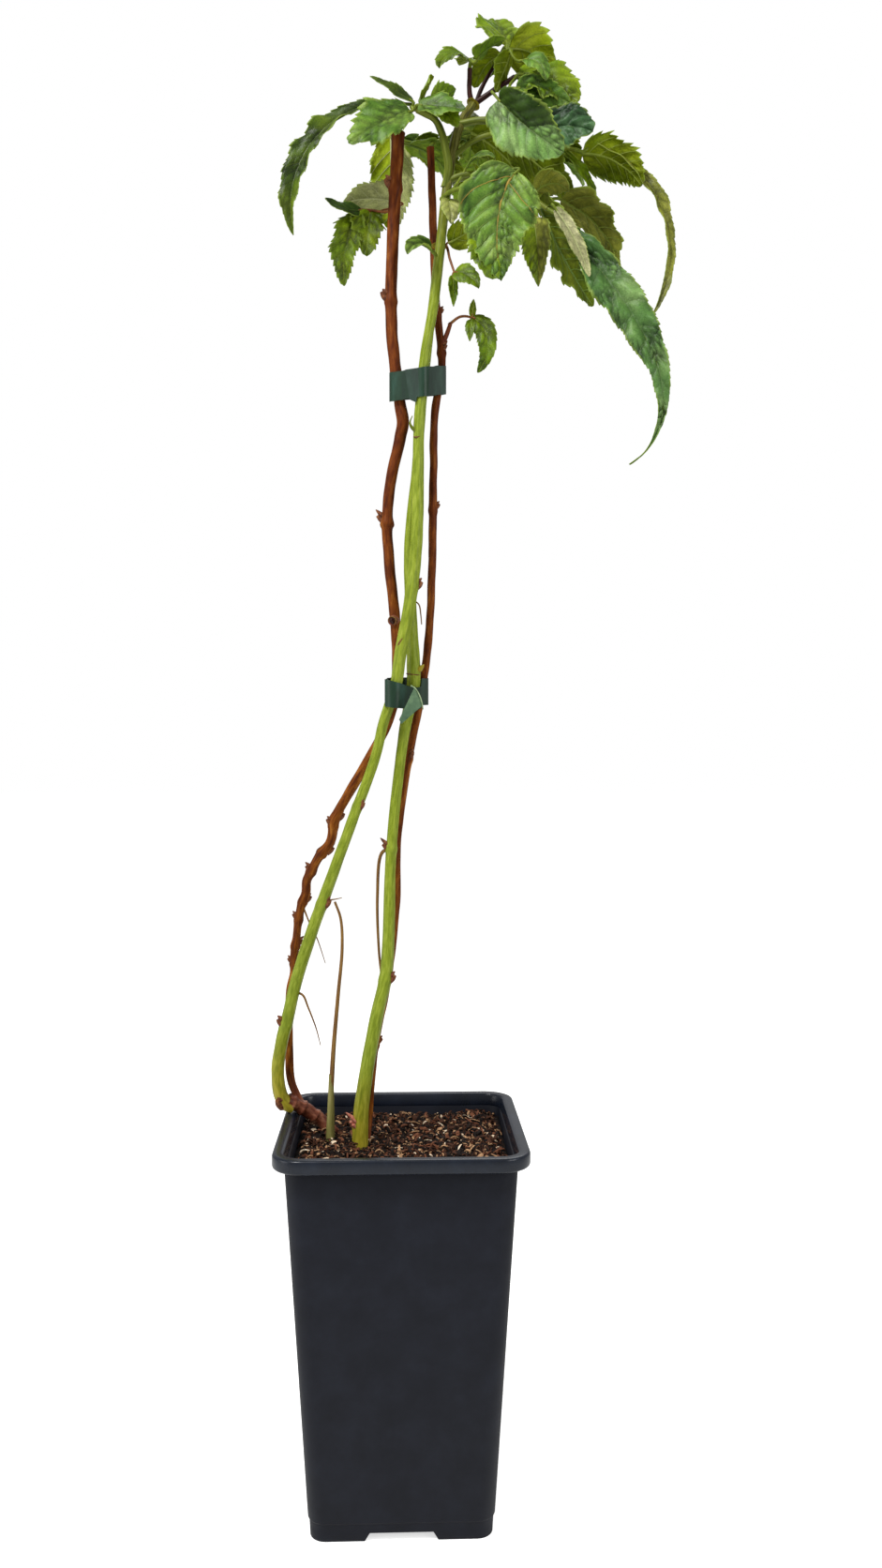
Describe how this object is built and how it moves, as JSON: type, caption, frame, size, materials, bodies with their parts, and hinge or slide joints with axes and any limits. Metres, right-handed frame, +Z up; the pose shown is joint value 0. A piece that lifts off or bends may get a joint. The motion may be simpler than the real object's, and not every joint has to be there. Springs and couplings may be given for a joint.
{
  "type": "raspberry cane in a pot",
  "caption": "Potted raspberry: tall tied canes rise from a deep square nursery pot of bark compost to a small leafy crown with long drooping leaves.",
  "frame": {"origin": "on the ground, under the centre of the whole part's own box; the pot's centre stands 49 mm towards -X and 16 mm towards -Y of it", "axes": "+Z up along the canes; -Y is the pot's front face, towards the camera; +X is to the right seen from the front"},
  "size_m": [0.285, 0.2025, 1.0565],
  "materials": {
    "pot": "matt, fine grained",
    "soil": "coarse bark compost",
    "bark": "smooth brown bark",
    "green_skin": "smooth green cane",
    "dark_skin": "smooth dark young stem",
    "tape": "soft satin",
    "leaf": "matt, veined"
  },
  "bodies": {
    "root": {"pot": "pot", "soil": "soil", "stump": "bark", "cane_brown_left": "bark", "cane_brown_right": "bark", "bough_side": "bark", "cane_green_left": "green_skin", "cane_green_middle": "green_skin", "young_shoot": "green_skin", "bough_left": "green_skin", "bough_right": "green_skin", "bough_arch": "green_skin", "bough_droop": "green_skin", "bough_long": "green_skin", "bough_rear": "green_skin", "leader_left": "dark_skin", "leader_middle": "dark_skin", "leader_right": "dark_skin", "tie_lower": "tape", "tie_upper": "tape", "foliage_top": "leaf", "foliage_top_left": "leaf", "foliage_top_right": "leaf", "foliage_right": "leaf", "foliage_right_arch": "leaf", "foliage_front": "leaf", "foliage_droop": "leaf", "foliage_long": "leaf", "foliage_left": "leaf", "foliage_left_low": "leaf", "foliage_small_left": "leaf", "foliage_small_right": "leaf", "foliage_side": "leaf", "foliage_rear": "leaf", "foliage_rear_right": "leaf", "foliage_rear_left": "leaf"}
  },
  "joints": []
}
